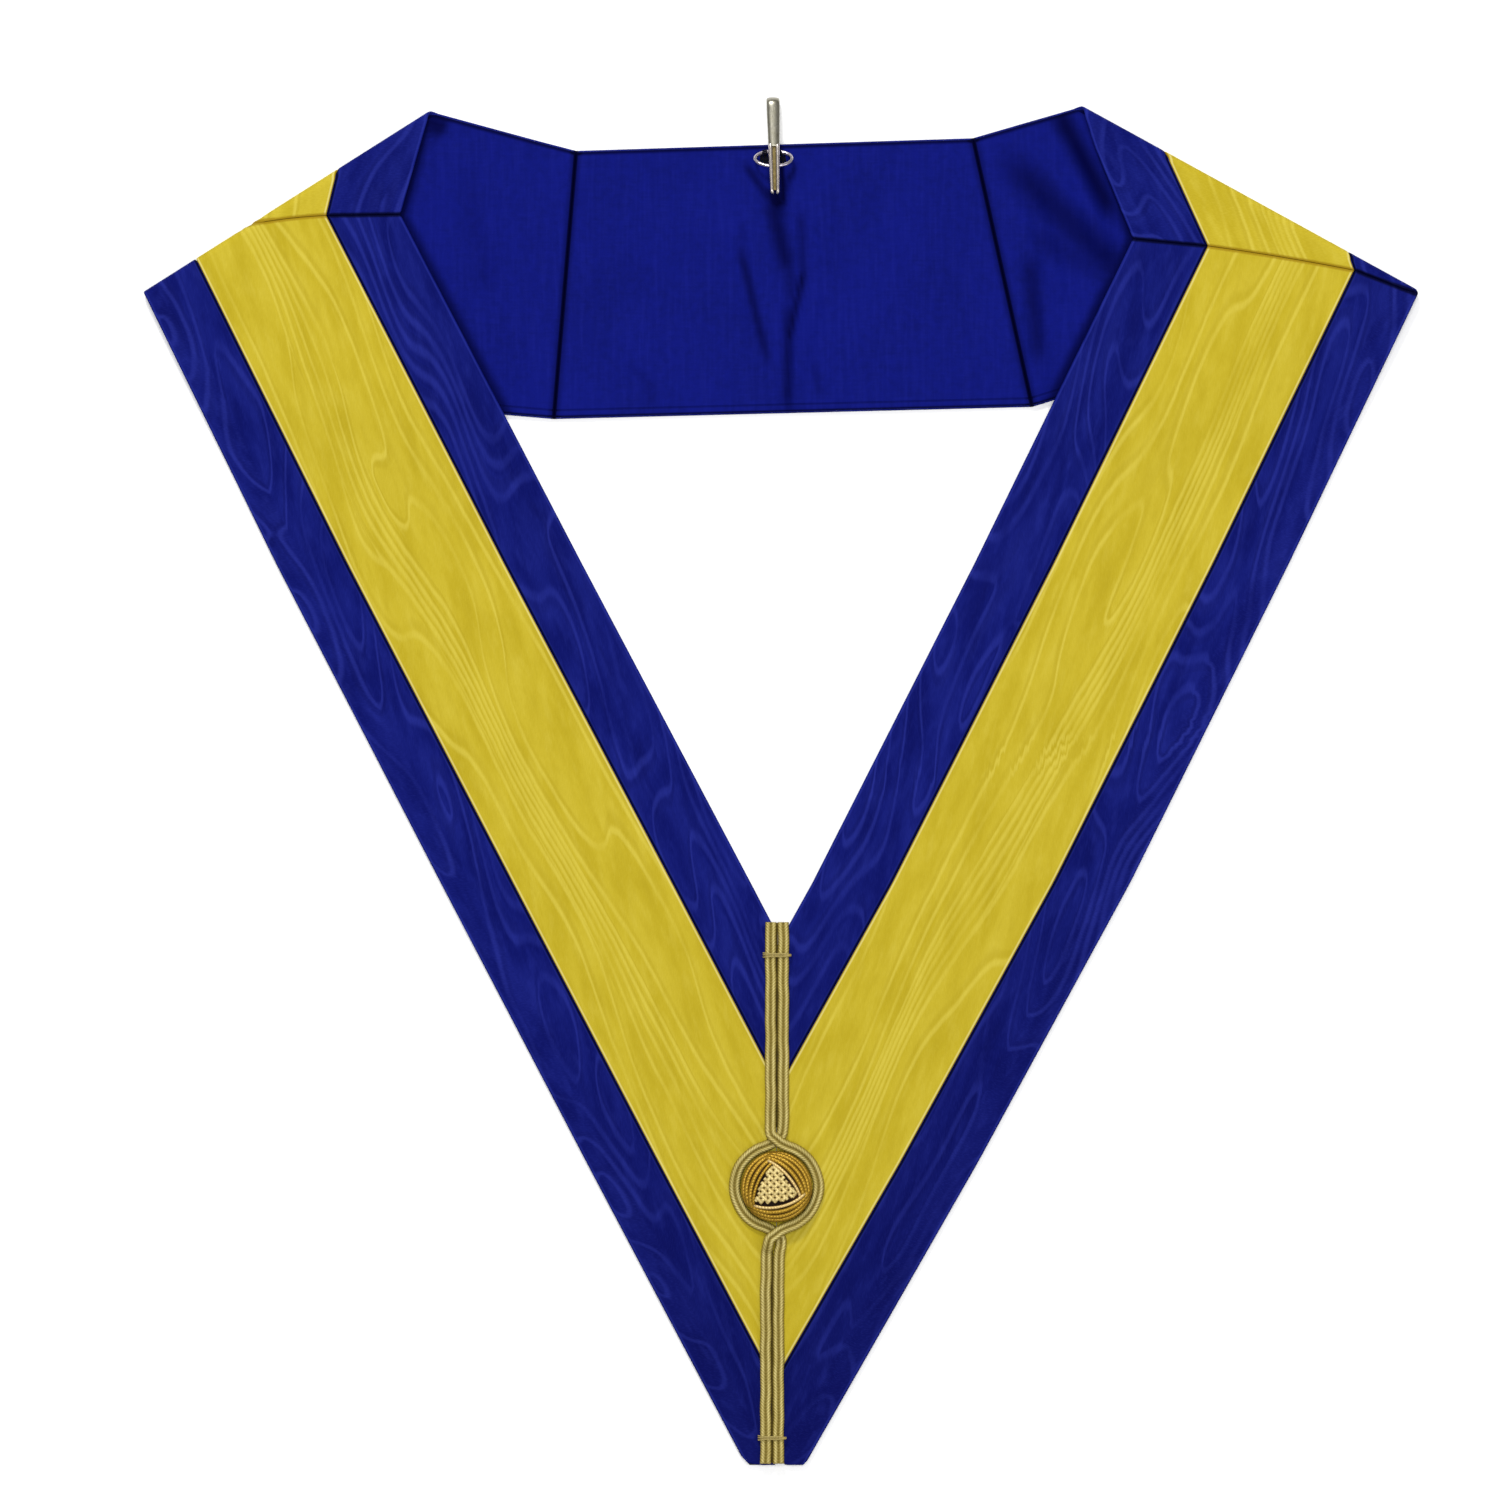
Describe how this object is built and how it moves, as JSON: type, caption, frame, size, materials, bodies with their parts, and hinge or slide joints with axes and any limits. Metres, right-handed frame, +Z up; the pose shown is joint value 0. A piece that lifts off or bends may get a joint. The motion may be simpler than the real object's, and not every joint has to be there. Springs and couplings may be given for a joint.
{
  "type": "masonic collar",
  "caption": "Lodge officer's collar of blue and yellow watered ribbon, laid flat and folded at the shoulders, with braid and button at the point and a hook and ring at the neck.",
  "frame": {"origin": "middle of the collar's box on the surface it lies on", "axes": "+X to the right as seen from above, +Y from the point to the neck, +Z up out of the front of the legs"},
  "size_m": [0.4678, 0.502, 0.0122],
  "materials": {
    "blue_ribbon": "watered silk, semi-matt",
    "yellow_ribbon": "watered silk, semi-matt",
    "lining": "plain weave, matt",
    "gold_braid": "flat gold braid",
    "gold_thread": "wound metallic thread",
    "ring_metal": "bright nickel plate",
    "hook_metal": "dull nickelled brass"
  },
  "bodies": {
    "root": {"leg_left_outer_border": "blue_ribbon", "leg_left_yellow_band": "yellow_ribbon", "leg_left_inner_border": "blue_ribbon", "leg_left_lining": "lining", "leg_right_outer_border": "blue_ribbon", "leg_right_yellow_band": "yellow_ribbon", "leg_right_inner_border": "blue_ribbon", "leg_right_lining": "lining", "shoulder_left_outer_border": "blue_ribbon", "shoulder_left_yellow_band": "yellow_ribbon", "shoulder_left_inner_border": "blue_ribbon", "shoulder_left_lining": "lining", "shoulder_right_outer_border": "blue_ribbon", "shoulder_right_yellow_band": "yellow_ribbon", "shoulder_right_inner_border": "blue_ribbon", "shoulder_right_lining": "lining", "back_outer_border": "blue_ribbon", "back_yellow_band": "yellow_ribbon", "back_inner_border": "blue_ribbon", "back_lining": "lining", "braid_left": "gold_braid", "braid_right": "gold_braid", "braid_tack_top": "gold_braid", "braid_tack_bottom": "gold_braid", "button": "gold_thread", "neck_ring": "ring_metal", "hook": "hook_metal"}
  },
  "joints": []
}
